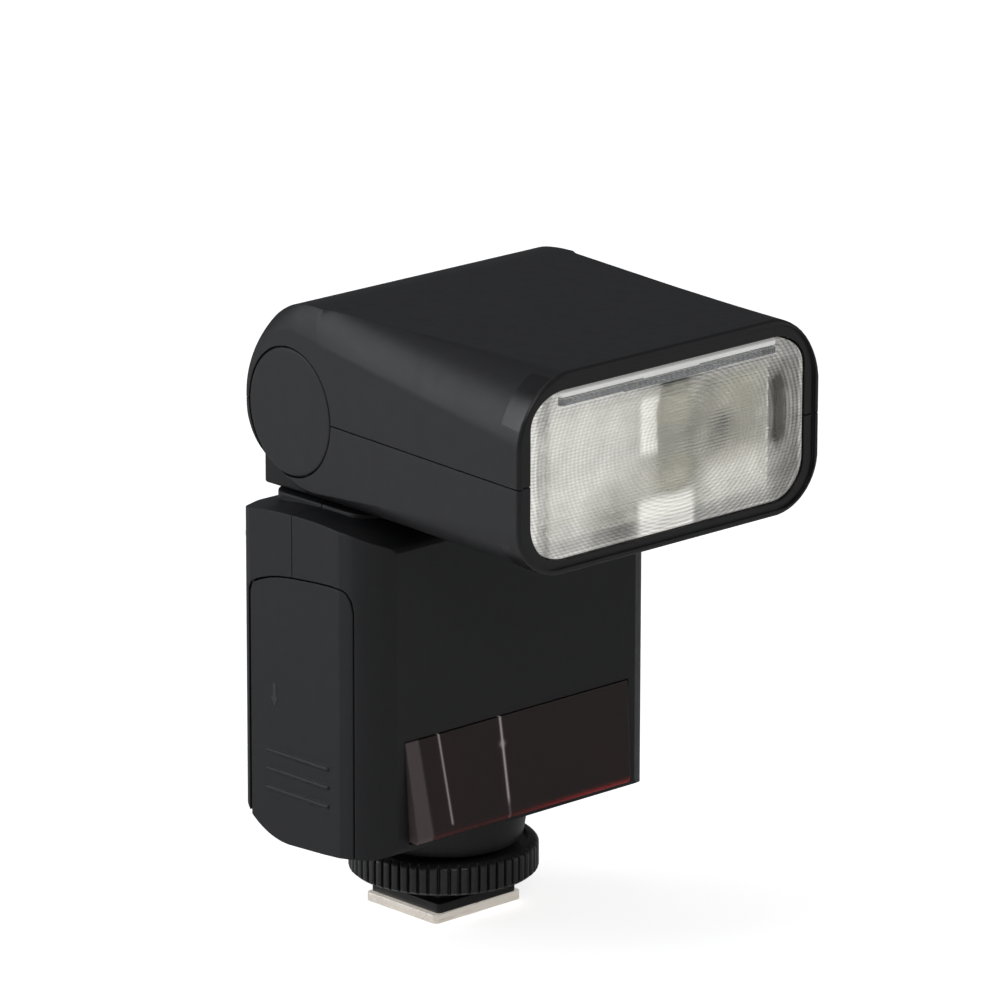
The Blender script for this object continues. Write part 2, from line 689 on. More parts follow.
# Rear outline of the head, (y, z) from the pivot, top to bottom
REAR = [(-3.3, 17.37), (0.3, 16.8), (3.8, 15.0), (6.4, 12.7), (8.5, 9.9), (10.25, 6.5),
        (11.25, 3.5), (11.55, 0.4), (11.15, -3.1), (9.4, -6.5), (6.5, -9.15), (3.0, -11.25),
        (-2.0, -13.3), (-6.0, -13.7)]


def edge_at(y, edge):
    """Height and band of a long edge at y."""
    inset, front, rear = edge
    t = (y - HEAD_FRONT) / (PIVOT_Y - inset - HEAD_FRONT)
    return [mix(a, b, t) for a, b in zip(front, rear)]


def head_half_width(y):
    return (EAR_HALF_WIDTH + (FRONT_HALF_WIDTH - EAR_HALF_WIDTH)
            * (PIVOT_Y - y) / (PIVOT_Y - HEAD_FRONT))


def ear_stations():
    lead = [(PIVOT_Y - d, edge_at(PIVOT_Y - d, TOP_EDGE)[0]) for d in (12.0, 7.5)]
    arc = catmull(lead + [(PIVOT_Y + y, PIVOT_Z + z) for y, z in REAR]
                  + [(PIVOT_Y - 9.0, PIVOT_Z - 13.75)], 6)[7:-6]
    last = len(arc) - 1
    stations = []
    for i, p in enumerate(arc):
        a, b = arc[max(i - 1, 0)], arc[min(i + 1, last)]
        tangent = Vector((b[0] - a[0], b[1] - a[1])).normalized()
        ny, nz = tangent[1], -tangent[0]
        if ny * (PIVOT_Y - 3 - p[0]) + nz * (PIVOT_Z - p[1]) < 0:
            ny, nz = -ny, -nz
        s = i / last
        near_top = smoothstep(max(0, 1 - s / 0.42))
        near_bottom = smoothstep(max(0, (s - 0.62) / 0.38))
        band = [ear + (top - ear) * near_top + (bottom - ear) * near_bottom
                for ear, top, bottom in zip(EAR_BAND, TOP_EDGE[2][1:], BOTTOM_EDGE[2][1:])]
        stations.append((p[0], p[1], ny, nz, *band, 0))
    return stations


def head_solid():
    """Side outline swept across the width, with a rounded band that narrows at the ears."""
    rounding = 0.6
    front = [(HEAD_FRONT + rounding * (1 - math.cos(a)), rounding * (1 - math.sin(a)))
             for a in np.radians([0, 25, 50, 72])]
    along = [(y, 0) for y in np.linspace(HEAD_FRONT + rounding, PIVOT_Y - 8.0, 24)]

    def edge_stations(places, edge, normal_z):
        stations = []
        for y, inset in places:
            z, *band = edge_at(y, edge)
            stations.append((y, z, 0, normal_z, *band, inset))
        return stations

    # y, z, inward normal y and z, band depth, width and roundness, front inset
    stations = edge_stations(front + along, TOP_EDGE, -1) + ear_stations()
    below = [p for p in along[::-1] if p[0] < PIVOT_Y - 6.3]
    stations += edge_stations(below + front[::-1], BOTTOM_EDGE, 1)

    vertices = []
    for y, z, ny, nz, depth, width, roundness, inset in stations:
        row = []
        for j in range(BAND_STEPS + 1):
            t = j / BAND_STEPS
            angle = t * math.pi / 2
            aside = width * (roundness * (1 - math.cos(angle)) + (1 - roundness) * t)
            inward = depth * (roundness * (1 - math.sin(angle)) + (1 - roundness) * (1 - t))
            row_y, row_z = y + ny * (inward + inset), z + nz * (inward + inset)
            row.append((head_half_width(row_y) - inset - aside, row_y, row_z))
        vertices += row + [(-a, b, c) for a, b, c in reversed(row)]
    m = 2 * (BAND_STEPS + 1)
    count = len(stations)
    faces = [[s * m + j, s * m + j + 1, (s + 1) * m + j + 1, (s + 1) * m + j]
             for s in range(count - 1) for j in range(m - 1)]
    for i in range(len(front)):          # rounded front edge of the side faces
        for c in (0, m - 1):
            faces.append([i * m + c, (i + 1) * m + c,
                          (count - 2 - i) * m + c, (count - 1 - i) * m + c])
    for c in (0, m - 1):
        faces.append([s * m + c for s in range(len(front), count - len(front))])
    faces.append(list(range(m)) + [(count - 1) * m + j for j in range(m - 1, -1, -1)])
    return mesh(vertices, faces, "head_raw")


def on_cheek(piece, side):
    """Move a piece built along +Z onto the flared cheek of a side."""
    place_at = Matrix.Translation((side * EAR_HALF_WIDTH * MM, PIVOT_Y * MM, PIVOT_Z * MM))
    turn = Matrix.Rotation(side * FLARE, 4, "Z") @ Matrix.Rotation(side * math.pi / 2, 4, "Y")
    piece.data.transform(place_at @ turn)
    return piece


def paint_inside(head):
    """Pale material on the chamber's walls, rim material on the front frame."""
    for face in head.data.polygons:
        x, y, z = face.center / MM
        n = face.normal
        if abs(n[2]) > 0.9 and abs(z - PIVOT_Z) < 0.4:
            continue                     # seam faces
        in_chamber = abs(x) < 29.3 and -46.95 < y < -8.8 and 71.4 < z < 99.7
        if in_chamber and x * n[0] + (z - 85) * n[2] * 1.5 + (y + 28) * n[1] < 0:
            face.material_index = 1
        elif -50.2 < y < -46 and abs(x) < 30.9 and 70 < z < 100.1:
            face.material_index = 2


def build_head_shells():
    gap = 0.10                           # half of the seam's opening
    neck_clearance, clearance_half_width = 11.7, 24.1
    lower = head_solid()
    chamber = loft((section(29.4, 71.5, 98.6, (8.5, 8.5), (7, 7)), -46.9),
                   (section(26.2, 72.6, 99.6, (5, 5), (3, 3)), -8.9))
    neck_space = [(PIVOT_Y - neck_clearance, 50)]
    neck_space += [(PIVOT_Y - neck_clearance * math.cos(t), PIVOT_Z + neck_clearance * math.sin(t))
                   for t in np.linspace(0, math.pi / 2, 33)]
    neck_space += [(60, PIVOT_Z + neck_clearance), (60, 50)]
    cut(lower, chamber,
        prism(neck_space, "x", -clearance_half_width, clearance_half_width),
        # stepped front frame: outer lip, recess, lens seat, panel slot
        prism(section(30.95, 70.35, 99.75, (9.15, 9.65), (7.6, 7.1), 16), "y", -61, -49.95),
        prism(section(28.95, 71.45, 97.85, (7.0, 5.2), (6.6, 6.6), 16), "y", -60, -47.9),
        prism(section(27.4, 73.2, 94.2, (4.5, 4.5), (5, 5)), "y", -59, -45.3),
        box((-23.2, -58, 95.05), (23.2, -44.7, 97.7)))
    for side in (-1, 1):                 # seats of the pivot caps
        cut(lower, on_cheek(cylinder(CAP_RADIUS + 0.24, "z", (0, 0), -1.06, 4, 144), side))
    # axle hole, a hair off centre
    cut(lower, cylinder(4.05, "x", (PIVOT_Y + 0.003, PIVOT_Z + 0.002), -29, 29, 50))
    lip = seam_lip(lower, (0, -20, PIVOT_Z + 0.3), (0.981, 0.983, 1.0),
                   (-50, -80, PIVOT_Z - SEAM_LIP), (50, 60, PIVOT_Z + 0.085))
    upper = copy(lower, "head_upper")
    lower.name = "head_lower"
    cut(upper, box((-50, -80, 40), (50, 60, PIVOT_Z + gap)))
    cut(lower, box((-50, -80, PIVOT_Z - gap), (50, 60, 130)))
    add(lower, lip)
    for shell, node in ((upper, "head_upper_shell"), (lower, "head_lower_shell")):
        finish(shell, "head", ["top", "chamber", "rim"], node, sharp=24)
        paint_inside(shell)


def build_pivot_caps():
    rounding = 0.22
    profile = [(AXIS, -1.0), (CAP_RADIUS, -1.0)]
    profile += [(CAP_RADIUS - rounding + rounding * math.cos(t), -rounding + rounding * math.sin(t))
                for t in QUARTER]
    profile += [(9.2, 0.0), (AXIS, 0.0)]
    for side, word in ((-1, "left"), (1, "right")):
        cap = lathe(profile, "z", (0, 0), 160, closed=False, name="cap_" + word)
        finish(on_cheek(cap, side), "head", ["cap"], "pivot_cap_" + word)


def build_lens():
    """Thick plate with level prisms on its inner face and a skirt behind."""
    groove_pitch, groove_height = 0.60, 0.56
    plate = prism(section(28.7, 71.7, 97.6, (6.9, 5.1), (6.5, 6.5)), "y", -49.9, -48.0)
    bevel(plate, 0.35, segments=3, angle=60)
    cut(plate, box((-23.3, -52, 95.0), (23.3, -46, 99.5)))
    teeth = [(-47.0, 73.0), (-47.5, 73.4)]
    for i in range(33):
        z = 73.9 + i * groove_pitch
        teeth += [(-48.28, z), (-48.02, z + groove_height)]
    teeth += [(-47.5, 94.0), (-47.0, 94.2)]
    cut(plate, prism(teeth, "x", -26.3, 26.3))
    skirt = prism(section(27.25, 73.4, 94.0, (4.4, 4.4), (4.9, 4.9)), "y", -48.05, -45.2)
    cut(skirt, prism(section(26.15, 74.4, 93.0, (3.6, 3.6), (4.0, 4.0)), "y", -49, -44))
    finish(join("lens", [plate, skirt]), "head", ["lens"], "fresnel_lens", sharp=25)


def bowl_curve(offset):
    return [(BOWL_Y + offset - BOWL_DEPTH * (z / BOWL_HALF_HEIGHT) ** 2,
             BOWL_Z + z * (1 + offset * 0.03))
            for z in np.linspace(-BOWL_HALF_HEIGHT, BOWL_HALF_HEIGHT, 57)]


def build_reflector():
    """Bowl, side walls that lean outwards to the mouth, and a frame round the mouth."""
    def tube_hole():
        return cylinder(1.75, "x", TUBE_AT, -30, 30, 48)

    inner = bowl_curve(0.0)
    bowl = prism(inner + bowl_curve(0.55)[::-1], "x", -22.9, 22.9)
    cut(bowl, tube_hole())
    sides = []
    for side in (-1, 1):
        wall = prism(inner, "x", 0, 0.5)
        for v in wall.data.vertices:
            t = (BOWL_Y - v.co[1] / MM) / BOWL_DEPTH
            v.co[0] = side * (v.co[0] + (20.4 + 2.4 * t) * MM)
        sides.append(cut(wall, tube_hole()))
    funnel = loft((rounded_rect((0, BOWL_Z), 22.9, 8.3, 0.6, 6), -45.2),
                  (rounded_rect((0, 84.0), 23.5, 9.9, 1.2, 6), -46.6))
    cut(funnel, loft((rounded_rect((0, BOWL_Z), 22.5, 7.9, 0.5, 6), -45.1),
                     (rounded_rect((0, 84.0), 23.2, 9.6, 1.1, 6), -46.7)))
    finish(join("reflector_bowl", [bowl, funnel] + sides), "zoom_unit",
           ["reflector"], "reflector", sharp=30)


def build_tube():
    tube = cylinder(1.6, "x", TUBE_AT, -21.4, 21.4, 48, 0.3, name="tube_body")
    finish(tube, "zoom_unit", ["glass"])
    ends = []
    for side in (-1, 1):                 # end cap and thin electrode
        ends.append(cylinder(1.7, "x", TUBE_AT, *sorted((side * 21.2, side * 24.2)), 48, 0.25))
        ends.append(cylinder(0.5, "x", TUBE_AT, *sorted((side * 18.2, side * 21.3)), 24, 0.1))
    finish(join("tube_electrodes", ends), "zoom_unit", ["steel"], "flash_tube")


def build_panel(name, bottom, top, lip_half_width, ribbed, body, material, node):
    """Pull-out sheet with a lip on its front edge."""
    front, rear = -50.1, -11.6
    outline = rounded_rect((0, (front + rear) / 2), 22.8, (rear - front) / 2, 0.8, 4)
    sheet = bevel(prism(outline, "z", bottom, top, name), 0.12, segments=2, angle=50)
    lip = rounded_rect((0, (bottom + top) / 2), lip_half_width, (top - bottom) / 2 + 0.06, 0.2, 3)
    add(sheet, prism(lip, "y", -50.25, -49.3))
    if ribbed:
        for i in range(22):
            y = -48 + i * 1.6
            notch = [(y, bottom - 0.1), (y + 0.4, bottom - 0.1), (y + 0.2, bottom + 0.16)]
            cut(sheet, prism(notch, "x", -20.8, 20.8))
    finish(sheet, body, [material], node, sharp=30)


build_head_shells()
build_pivot_caps()
build_lens()
build_reflector()
build_tube()
build_panel("wide_panel_sheet", 95.35, 96.3, 10, True,
            "wide", "diffuser", "wide_panel")
build_panel("catchlight_sheet", 96.7, 97.4, 6, False,
            "catchlight", "card", "catchlight_panel")


# ------------------------------------------------------------------ neck
def neck_profile(inset):
    """Side outline: a round top that runs down to a flat rear."""
    radius, rear = NECK_RADIUS - inset, NECK_REAR - inset
    points = [(PIVOT_Y - NECK_RADIUS + inset, NECK_BOTTOM + inset)]
    points += [(PIVOT_Y - radius * math.cos(t), PIVOT_Z + radius * math.sin(t))
               for t in np.linspace(0, math.pi, 49)]
    points = [p for p in points if not (p[0] > PIVOT_Y + rear and p[1] < 90)]
    meet = math.sqrt(radius ** 2 - rear ** 2) * 0.98
    return points + [(PIVOT_Y + rear, PIVOT_Z + meet), (PIVOT_Y + rear, NECK_BOTTOM + inset)]


def build_neck():
    gap = 0.06
    front = prism(neck_profile(0), "x", -23.8, 23.8, "neck")
    bevel(front, 0.5, segments=3, angle=50)
    cut(front, prism(neck_profile(WALL), "x", -22, 22),
        cylinder(4.02, "x", PIVOT, -30, 30, 48),
        cylinder(6.82, "z", SWIVEL_AT, 60, 72.5, 64))
    rear = copy(front, "neck_shell_rear")
    front.name = "neck_shell_front"
    cut(front, box((-40, PIVOT_Y - gap, 60), (40, 40, 110)))
    cut(rear, box((-40, -40, 60), (40, PIVOT_Y + gap, 110)))
    for z in (74.0, 76.6, 79.2):         # shallow level lines on the rear
        cut(rear, box((-17, PIVOT_Y + 9.7, z), (17, PIVOT_Y + 12, z + 0.5)))
    finish(front, "neck", ["neck"], "neck_front", sharp=28)
    finish(rear, "neck", ["neck"], "neck_rear", sharp=28)


build_neck()

# ------------------------------------------------------------------ body
# Stations of the body's outlines with their outward direction.
# Plan, +X half from the front corner to the back corner: x, y, outward x, y
PLAN = [(25.5, -16.9, 0.27, -1), (28.4, -15.2, 0.62, -0.85), (30.2, -12.6, 0.92, -0.45),
        (31, -9.6, 1, -0.15), (31, 10.6, 1, 0.1), (30.5, 12.1, 0.85, 0.6),
        (29.2, 12.9, 0.5, 0.9), (24.5, 15.2, 0.35, 0.95), (22, 15.8, 0.1, 1)]
# Side outline, bottom and top: y, z, outward y, z
BOTTOM = [(-16.9, 18.5, -1, -0.4), (-16.4, 17.4, -0.9, -0.8), (-15.1, 16.9, -0.4, -1),
          (-6, 16.2, 0, -1), (2, 15.8, 0, -1)]
TOP = [(15.8, 67.0, 0.9, 0.6), (15.0, 67.7, 0.5, 1), (12.8, 68.2, 0.1, 1), (8, 68.9, 0.08, 1),
       (2, 69.3, 0, 1), (-5, 69.3, 0, 1), (-11, 68.8, -0.1, 1), (-14.6, 67.8, -0.35, 0.95),
       (-16.3, 66.9, -0.7, 0.75), (-16.9, 65.9, -1, 0.2)]
INNER_TOP = [(14.0, 65.7), (13.3, 66.2), (8, 67.1), (2, 67.5), (-5, 67.5), (-11, 67.0),
             (-14.3, 66.0), (-15.1, 65.2)]


def body_plan(inset):
    points = inset_points(PLAN, inset)
    return mirrored(catmull(points[:4], 7) + catmull(points[4:7], 5) + points[7:])


def body_profile(inset):
    back_curve = [(2 + (13.8 - inset) * math.cos(t), 30 + (14.2 - inset) * math.sin(t))
                  for t in np.radians(np.linspace(-84, 0, 26))]
    top = INNER_TOP if inset > 1 else catmull(inset_points(TOP, inset), 4)
    return inset_points(BOTTOM, inset) + back_curve + top


def body_solid(inset, name="part"):
    solid = prism(body_plan(inset), "z", 10, 75, name)
    return keep_within(solid, prism(body_profile(inset), "x", -40, 40))


def door_region(gap):
    """Door outline in y and z; a positive gap is the opening, a negative one the door."""
    hinge_y = 11.12 if gap > 0 else 10.52
    points = [(-12.3 - gap, 10), (hinge_y, 10), (hinge_y, 55.0 + gap)]
    return points + catmull([(hinge_y, 55.4 + gap), (9.6 + gap, 57 + gap), (5, 58.6 + gap),
                             (-1, 59.4 + gap), (-9.4, 59.8 + gap), (-11.6 - gap, 58.6 + gap),
                             (-12.3 - gap, 56.4 + gap)], 6)


def build_body_shells(outer, inner):
    gap = 0.07                           # half of the seam's opening
    shell = copy(outer, "body_wall")
    cut(shell, copy(inner))
    pad = prism(rounded_rect((0, 2.2), 24.8, 11.2, 4, 10), "z", 67, 69.9)
    bevel(pad, 0.35, segments=3, angle=60)
    add(shell, pad, cylinder(9.4, "z", SWIVEL_AT, 66.2, 69, 64))
    cut(shell, cylinder(6.85, "z", SWIVEL_AT, 60, 75, 96),
        cylinder(13.3, "z", (0, 0), 10, 19, 128),
        prism(door_region(0.16), "x", -40, -27.5),
        box((27.3, -9.4, 35.8), (35, -1.0, 47.15)))
    lip = seam_lip(shell, (0, 0.5, 41.0), (0.980, 1.0, 0.988),
                   (-50, SEAM_Y - SEAM_LIP, 0), (50, SEAM_Y + 0.06, 110))
    front = copy(shell, "body_front")
    cut(front, box((-50, SEAM_Y - gap, 0), (50, 60, 110)))
    add(front, lip)
    cut(shell, box((-50, -60, 0), (50, SEAM_Y + gap, 110)))
    # stepped seat of the red window
    cut(front, prism(mirrored([(22.95, 18.6), (24.0, 35.4)]), "y", -20, -15.2),
        box((-21.5, -16.2, 20.8), (21.5, -13, 33.4)))
    finish(front, "body", ["housing"], "front_shell", sharp=26)
    cut_back(shell)


def cut_back(rear):
    """Openings of the back, a dished ring round the dial and bosses under the screws."""
    for x in KEYS_X:
        cut(rear, prism(rounded_rect((x, KEYS_Z), 4.25, 1.8, 0.7, 5), "y", 12.8, 20))
    cut(rear, prism(rounded_rect(DISPLAY_AT, 20.55, 8.45, 1.1, 6), "y", 13.2, 20),
        cylinder(9.85, "y", DIAL_AT, 12.8, 20, 128),
        cylinder(3.42, "y", TEST_AT, 12.8, 20, 64),
        prism(rounded_rect((18.3, SWITCH_Z), 4.2, 1.7, 0.5, 4), "y", 12.8, 20))
    for at in SCREWS_AT:
        cut(rear, cylinder(2.0, "y", at, 8.5, 18, 48))
    cut(rear, lathe([(9.0, 14.9), (12.6, 15.82), (12.6, 17), (9.0, 17)], "y", DIAL_AT))
    boss = [(1.05, 8.2), (2.5, 8.2), (2.5, 13.3), (2.0, 13.3), (2.0, 8.5), (1.05, 8.5)]
    rear = join("body_rear", [rear] + [lathe(boss, "y", at, 48) for at in SCREWS_AT])
    finish(rear, "body", ["housing"], "rear_shell", sharp=26)


def build_marks():
    """Short and long bars above the keys, an upright bar beside the switch."""
    marks = []
    for i, x in enumerate(KEYS_X):
        outline = rounded_rect((x, 46.05), 1.1 if i % 2 else 0.45, 0.18, 0.1, 2)
        marks.append(prism(outline, "y", 15.74, 15.84))
    marks.append(prism(rounded_rect((12.9, SWITCH_Z), 0.28, 0.9, 0.1, 2), "y", 15.3, 15.72))
    finish(join("key_marks", marks), "body", ["mark"])


def build_door(outer, inner):
    """Battery door in the body's own skin, with grip ridges and a hinge hole."""
    door = copy(outer, "battery_door_shell")
    cut(door, copy(inner))
    keep_within(door, prism(door_region(-0.12), "x", -40, -27.9))
    add(door, keep_within(body_solid(0.3), box((-31, 8.6, 22), (-29.0, 10.5, 55))))
    ridge = [(AXIS, -7.4), (0.30, -7.3), (0.42, -6.9), (0.42, 6.7), (0.30, 7.1), (AXIS, 7.2)]
    for z in (24.2, 27.3, 30.3):
        add(door, lathe(ridge, "y", (-30.93, z), 24, closed=False))
    cut(door, cylinder(0.44, "z", (-30.35, 10.3), 23, 62, 24))
    finish(door, "door", ["housing"], "battery_door", sharp=26)


def build_door_arrow():
    centre_y, base_z = 5.1, 39.2
    head = [(centre_y - 0.8, base_z), (centre_y + 0.8, base_z), (centre_y, 37.6)]
    bar = [(centre_y - 0.35, base_z), (centre_y + 0.35, base_z),
           (centre_y + 0.35, 41.4), (centre_y - 0.35, 41.4)]
    parts = [prism(outline, "x", -31.04, -30.8) for outline in (head, bar)]
    finish(join("door_arrow", parts), "door", ["arrow"])


def build_socket_cover():
    hinge_z, y0, y1 = 36.72, -9.1, -1.3
    flap = prism(rounded_rect((-5.2, 42.05), 3.9, 4.85, 0.9, 5), "x", 29.75, 31.0)
    bevel(flap, 0.25, segments=3, angle=50)
    cut(flap, prism(rounded_rect((-5.2, 45.5), 2.2, 0.35, 0.3, 3), "x", 30.7, 31.4))
    hinge = cylinder(0.62, "y", (30.38, hinge_z), y0, y1, 32, 0.1)
    web = box((29.9, y0, hinge_z), (30.86, y1, 37.6))
    finish(join("usb_cover_flap", [flap, hinge, web]), "usb_flap", ["key"],
           "usb_cover")


def build_red_window():
    """Wedge that is thicker at the bottom, hollow behind."""
    wedge = [(-15.3, 35.2), (-16.95, 35.2), (-18.85, 19.7), (-18.5, 18.9), (-15.3, 18.9)]
    hollow = [(-15.0, 33.6), (-15.75, 33.6), (-17.35, 20.6), (-15.0, 20.6)]
    window = prism(wedge, "x", -24, 24, "sensor_window_lens")
    keep_within(window, prism(mirrored([(22.75, 18.8), (23.8, 35.3)]), "y", -20, -15.3))
    bevel(window, 0.22, segments=3, angle=30)
    cut(window, prism(hollow, "x", -21.3, 21.3))
    finish(window, "body", ["red"], "sensor_window", sharp=28)


outer_solid = body_solid(0, "body_outer")
bevel(outer_solid, 0.55, segments=3, angle=55)
inner_solid = body_solid(WALL, "body_inner")
build_body_shells(outer_solid, inner_solid)
build_marks()
build_door(outer_solid, inner_solid)
drop(outer_solid)
drop(inner_solid)
build_door_arrow()
build_socket_cover()
build_red_window()


# ------------------------------------------------------------------ foot
def build_foot_plate():
    plate = prism(rounded_rect((0, 0), 9.3, 8.2, 1.0, 6), "z", 0, 1.5, "foot_rail_plate")
    bevel(plate, 0.16, segments=2, angle=60)
    cut(plate, prism(rounded_rect((0, 0), 4.95, 5.05, 0.6, 4), "z", -1, 3))
    screw_hole = [(AXIS, -0.5), (1.75, -0.3), (0.78, 0.72), (0.78, 3), (AXIS, 3)]
    for x in (-6.9, 6.9):
        for y in (-5.4, 5.4):
            cut(plate, lathe(screw_hole, "z", (x, y), 32, closed=False))
    cut(plate, cylinder(1.25, "z", LOCK_PIN_AT, -1, 3, 32))
    finish(plate, "body", ["nickel"], "foot_plate", sharp=30)


def build_foot_core():
    """Block, contact island, square waist and the threaded clamp stem."""
    core = prism(rounded_rect((0, 0), 8.4, 7.95, 0.8, 5), "z", 1.5, 3.1, "foot_core")
    bevel(core, 0.15, segments=2, angle=60)
    stem_radius, thread_pitch = 9.0, 0.75
    profile = [(AXIS, 5.9), (stem_radius, 5.9)]
    for i in range(7):                   # thread turns
        z = 6.2 + i * thread_pitch
        profile += [(stem_radius, z), (8.72, z + 0.2), (8.72, z + 0.32), (stem_radius, z + 0.5)]
    profile += [(stem_radius, 11.05), (12.1, 11.0), (12.5, 11.25), (12.75, 12.4), (13.05, 14.2),
                (13.2, 15.6), (13.2, 16.9), (10.4, 17.0), (10.4, 18.6), (AXIS, 18.6)]
    add(core, prism(rounded_rect((0, 0), 4.85, 4.95, 0.6, 4), "z", 0.15, 1.6),
        prism(rounded_rect((0, 0), 6.2, 6.2, 0.8, 4), "z", 3.0, 6),
        lathe(profile, "z", (0, 0), 160, closed=False))
    for at, radius in (((0, 0), 1.45), *((at, 0.8) for at in SMALL_PINS_AT)):
        cut(core, cylinder(radius, "z", at, -1, 4.5, 32))
    cut(core, box((-1.3, -8.3, 3.1), (1.3, -5.3, 5.9)))
    finish(core, "body", ["foot"], "foot_block", sharp=30)


def build_clamp_plate():
    top = 5.55
    plate = prism(rounded_rect((0, 0), 8.6, 7.9, 1.0, 5), "z", 4.35, top, "clamp_plate")
    bevel(plate, 0.15, segments=2, angle=60)
    add(plate, cylinder(9.6, "z", (0, 0), 4.75, top, 96, 0.1))
    cut(plate, prism(rounded_rect((0, 0), 6.45, 6.45, 0.8, 4), "z", 4, 6),
        cylinder(1.6, "z", LOCK_PIN_AT, 4, 6, 32))
    finish(plate, "clamp", ["foot"], "pressure_plate", sharp=30)


def build_lock_ring():
    """Broad ribs of slightly uneven width with narrow deep grooves."""
    ribs, groove_radius, rib_radius, bore = 58, 14.25, 15.08, 9.05
    # share of a rib's width, radius
    rib_shape = ((0.00, groove_radius), (0.10, groove_radius + 0.05), (0.15, rib_radius - 0.34),
                 (0.20, rib_radius - 0.12), (0.30, rib_radius - 0.02), (0.5, rib_radius),
                 (0.72, rib_radius - 0.02), (0.84, rib_radius - 0.12),
                 (0.90, rib_radius - 0.34), (0.96, groove_radius + 0.05))
    widths = 1 + 0.16 * (np.random.RandomState(7).rand(ribs) - 0.5)
    edges = np.concatenate([[0], np.cumsum(widths)])
    edges = edges / edges[-1] * 2 * math.pi
    outline = []
    for start, end in zip(edges, edges[1:]):
        for share, radius in rib_shape:
            angle = start + (end - start) * share
            outline.append((radius * math.cos(angle), radius * math.sin(angle)))
    ring = prism(outline, "z", 5.62, 10.6, "lock_ring_ribbed")
    # the ribs die into smooth edges above and below
    envelope = [(8, 5.6), (13.9, 5.6), (14.6, 5.75), (15.0, 6.05), (15.1, 6.4), (15.1, 9.7),
                (15.02, 10.0), (14.7, 10.35), (14.2, 10.55), (13.6, 10.6), (8, 10.6)]
    keep_within(ring, lathe(envelope, "z", (0, 0), 192))
    hollow = [(0.01, 5), (bore, 5), (bore, 10.1), (13.35, 10.1), (13.35, 12), (0.01, 12)]
    cut(ring, lathe(hollow, "z", (0, 0), 160))
    base = [(bore, 5.6), (14.45, 5.6), (14.55, 5.7), (14.55, 5.95), (bore, 5.95)]
    add(ring, lathe(base, "z", (0, 0), 160))
    finish(ring, "ring", ["ring"], "lock_ring", sharp=30)


def build_pins():
    z0, z1 = 0.05, 3.2
    pins = [cylinder(1.4, "z", (0, 0), z0, z1, 48, 0.25)]
    pins += [cylinder(0.75, "z", at, z0, z1, 32, 0.2) for at in SMALL_PINS_AT]
    finish(join("contact_pin_set", pins), "contacts", ["gold"], "contact_pins")
    profile = [(AXIS, 0.4), (0.55, 0.4), (0.8, 0.5), (1.05, 0.85), (1.1, 1.0), (1.1, 7.1),
               (1.0, 7.2), (AXIS, 7.2)]
    lock_pin = lathe(profile, "z", LOCK_PIN_AT, 48, closed=False, name="lock_pin_turned")
    finish(lock_pin, "shoe_pin", ["pin"], "lock_pin")


build_foot_plate()
build_foot_core()
build_clamp_plate()
build_lock_ring()
build_pins()


# ------------------------------------------------------------------ back controls
def build_dial():
    teeth = 40
    # share of a tooth's width, radius
    tooth = ((0.0, 9.05), (0.14, 9.05), (0.24, 9.42), (0.5, 9.5), (0.86, 9.42))
    knurl = []
    for i in range(teeth):
        for share, radius in tooth:
            angle = 2 * math.pi * i / teeth + 2 * math.pi / teeth * share
            knurl.append((radius * math.cos(angle), DIAL_AT[1] + radius * math.sin(angle)))
    face = [(5.3, 16.7), (9.2, 16.7), (9.5, 16.95), (9.5, 17.7), (9.3, 18.1), (8.8, 18.3),
            (8.25, 18.3), (8.1, 18.1), (6.95, 18.1), (6.8, 18.3), (6.5, 18.3), (6.0, 18.15),
            (5.6, 17.95), (5.3, 17.6)]
    back = [(7.2, 13.0), (9.0, 13.0), (9.15, 13.2), (9.15, 16.72), (5.3, 16.72), (5.3, 14.2),
            (7.2, 14.2)]
    dial = keep_within(lathe(face, "y", DIAL_AT, 160), prism(knurl, "y", 16.5, 18.6))
    dial = join("select_dial_knurled", [dial, lathe(back, "y", DIAL_AT)])
    finish(dial, "dial", ["dial"], "select_dial", sharp=30)


def build_set_button():
    profile = [(AXIS, 13.45), (6.2, 13.45), (6.2, 14.05), (4.5, 14.05), (4.5, 17.2),
               (4.35, 17.6), (4.0, 17.82), (3.0, 17.86), (1.6, 17.62), (AXIS, 17.55)]
    button = lathe(profile, "y", DIAL_AT, 96, closed=False, name="set_button_cap")
    finish(button, "set_key", ["key"], "set_button")


def build_keys():
    for x, word in zip(KEYS_X, ("mode", "zoom", "sync", "slave")):
        outline = rounded_rect((x, KEYS_Z), 4.05, 1.6, 0.6, 5)
        key = prism(outline, "y", 14.2, 16.3, word + "_key_cap")
        bevel(key, 0.3, segments=3, angle=60)
        add(key, box((x - 0.95, 13.8, KEYS_Z - 0.8), (x + 0.95, 14.25, KEYS_Z + 0.8)))
        finish(key, "key_" + word, ["key"], word + "_key")


def build_test_button():
    profile = [(AXIS, 13.8), (1.0, 13.8), (1.0, 14.2), (3.2, 14.2), (3.2, 15.9),
               (3.05, 16.15), (2.7, 16.3), (1.4, 16.2), (AXIS, 16.15)]
    button = lathe(profile, "y", TEST_AT, 64, closed=False, name="test_button_cap")
    finish(button, "key_test", ["lamp"], "test_button")


